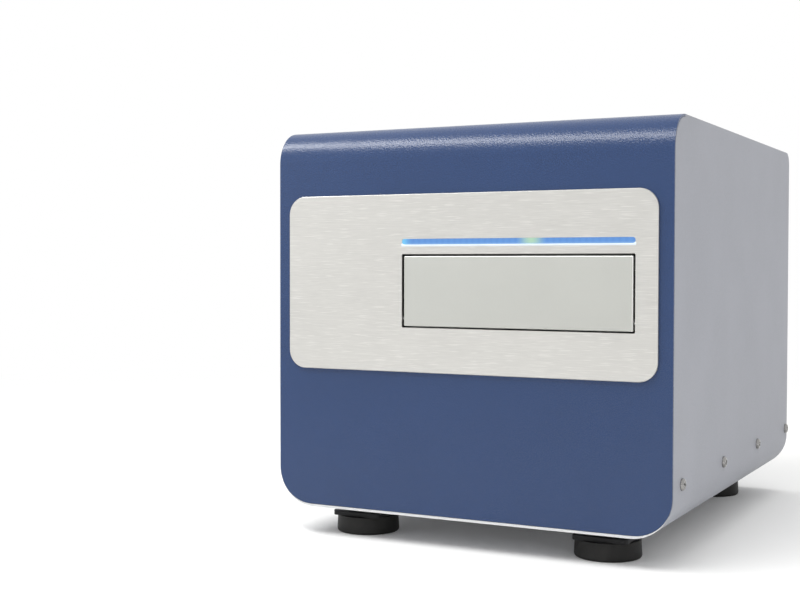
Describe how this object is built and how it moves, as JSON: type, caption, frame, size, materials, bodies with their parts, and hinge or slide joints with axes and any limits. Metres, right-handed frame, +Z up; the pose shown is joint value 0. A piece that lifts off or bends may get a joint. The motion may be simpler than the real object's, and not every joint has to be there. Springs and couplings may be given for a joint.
{
  "type": "automated cell counter",
  "caption": "Bench cell counter with a painted sheet case, a drop-down front door, a motorised plate tray and a fluorescence imaging head inside.",
  "frame": {"origin": "on the table under the middle of the instrument's box", "axes": "+X to the right, +Y from the front to the back, +Z up"},
  "size_m": [0.3454, 0.4196, 0.3398],
  "materials": {
    "grey_paint": "fine powder coat, satin",
    "blue_paint": "textured powder coat, semi-gloss",
    "brushed_aluminium": "brushed along its length, clear anodised",
    "silver_plastic": "satin silver paint",
    "black_plastic": "moulded, matt",
    "white_plastic": "moulded, satin",
    "opal_plastic": "opal sheet",
    "lit_lens": "clear, lit blue",
    "green_board": "solder mask",
    "black_rubber": "moulded, matt",
    "black_belt": "toothed belt",
    "black_paint": "satin paint",
    "black_anodised": "black anodised",
    "aluminium_sheet": "clear anodised",
    "zinc_sheet": "zinc-coated sheet",
    "zinc_steel": "zinc plated",
    "steel": "ground",
    "stainless": "bright stainless",
    "brass": "nickel-free, dull",
    "filter_glass": "coated glass"
  },
  "bodies": {
    "root": {"base_plate": "zinc_sheet", "board_standoffs": "brass", "cross_beam": "aluminium_sheet", "cross_motor": "black_paint", "cross_rails": "steel", "door_motor": "zinc_steel", "driver_board": "green_board", "fan_frame": "black_plastic", "feet": "black_rubber", "foot_plates": "black_paint", "foot_screws": "zinc_steel", "front_plate": "brushed_aluminium", "idler_axle": "steel", "left_upright": "aluminium_sheet", "light_board": "green_board", "light_bridge": "aluminium_sheet", "light_lens": "lit_lens", "light_panel": "opal_plastic", "lower_case": "grey_paint", "main_board": "green_board", "plate_nuts": "zinc_steel", "port_frame": "black_plastic", "power_inlet": "black_plastic", "power_supply": "zinc_sheet", "rear_panel": "grey_paint", "rear_screws": "stainless", "right_upright": "aluminium_sheet", "side_screws": "stainless", "tray_belt": "black_belt", "tray_motor": "black_paint", "tray_rails": "steel", "upper_cover": "blue_paint", "usb_socket": "zinc_steel"},
    "tray": {"tray_blocks": "steel", "tray_carriage": "aluminium_sheet", "tray_arm": "black_anodised", "plate_tray": "black_anodised", "belt_clamp": "aluminium_sheet"},
    "door": {"door_leaf": "silver_plastic", "door_pins": "steel", "door_sector_gear": "white_plastic"},
    "optics": {"optics_blocks": "steel", "optics_bracket": "black_anodised", "camera": "black_anodised", "tube_lens": "black_anodised", "wheel_motor": "zinc_steel", "filter_cube": "black_anodised", "light_engine": "aluminium_sheet", "focus_motor": "black_paint"},
    "focus": {"focus_carrier": "aluminium_sheet", "objective": "stainless"},
    "filter_wheel": {"filter_wheel": "black_anodised", "filters": "filter_glass"},
    "door_pinion": {"door_pinion": "white_plastic"},
    "drive_pulley": {"drive_pulley": "aluminium_sheet"},
    "idler_pulley": {"idler_pulley": "aluminium_sheet"},
    "cross_screw": {"cross_screw": "steel"},
    "focus_screw": {"focus_screw": "steel"},
    "fan_rotor": {"fan_rotor": "black_plastic"},
    "power_rocker": {"power_rocker": "black_plastic"}
  },
  "joints": [
    {"name": "tray_slide", "type": "slide", "parent": "root", "child": "tray", "axis": [0, -1, 0], "range_m": [0, 0.31]},
    {"name": "door_hinge", "type": "hinge", "parent": "root", "child": "door", "pos_m": [0.0449, -0.20565, 0.184], "axis": [1, 0, 0], "range_deg": [0, 80]},
    {"name": "door_pinion_spin", "type": "hinge", "parent": "root", "child": "door_pinion", "pos_m": [-0.0553, -0.18765, 0.184], "axis": [1, 0, 0], "range_deg": [-208.5, 0.5]},
    {"name": "drive_pulley_spin", "type": "hinge", "parent": "root", "child": "drive_pulley", "pos_m": [-0.0411, 0.18265, 0.1885], "axis": [1, 0, 0], "range_deg": [0, 2194]},
    {"name": "idler_pulley_spin", "type": "hinge", "parent": "root", "child": "idler_pulley", "pos_m": [-0.0411, -0.15935, 0.1885], "axis": [1, 0, 0], "range_deg": [0, 2194]},
    {"name": "optics_slide", "type": "slide", "parent": "root", "child": "optics", "axis": [1, 0, 0], "range_m": [-0.0495, 0.0495]},
    {"name": "cross_screw_spin", "type": "hinge", "parent": "root", "child": "cross_screw", "pos_m": [0.0449, 0.07831, 0.101], "axis": [1, 0, 0], "range_deg": [-1783, 1783]},
    {"name": "focus_slide", "type": "slide", "parent": "optics", "child": "focus", "axis": [0, 0, 1], "range_m": [-0.0025, 0.0025]},
    {"name": "focus_screw_spin", "type": "hinge", "parent": "optics", "child": "focus_screw", "pos_m": [0.0659, 0.05931, 0.166], "axis": [0, 0, 1], "range_deg": [-451, 451]},
    {"name": "filter_wheel_spin", "type": "hinge", "parent": "optics", "child": "filter_wheel", "pos_m": [0.0449, 0.01231, 0.1055], "axis": [0, 0, 1], "continuous": true},
    {"name": "fan_spin", "type": "hinge", "parent": "root", "child": "fan_rotor", "pos_m": [-0.11, 0.19115, 0.26], "axis": [0, 1, 0], "continuous": true},
    {"name": "power_switch", "type": "hinge", "parent": "root", "child": "power_rocker", "pos_m": [-0.11, 0.20315, 0.1005], "axis": [1, 0, 0], "range_deg": [-18, 0]}
  ],
  "couplings": [
    {"joint": "door_hinge", "follows": "tray_slide", "rad_per_m": 4.504},
    {"joint": "door_pinion_spin", "follows": "tray_slide", "rad_per_m": -11.711},
    {"joint": "drive_pulley_spin", "follows": "tray_slide", "rad_per_m": 123.46},
    {"joint": "idler_pulley_spin", "follows": "tray_slide", "rad_per_m": 123.46},
    {"joint": "cross_screw_spin", "follows": "optics_slide", "rad_per_m": 628.32},
    {"joint": "focus_screw_spin", "follows": "focus_slide", "rad_per_m": 3141.6}
  ]
}
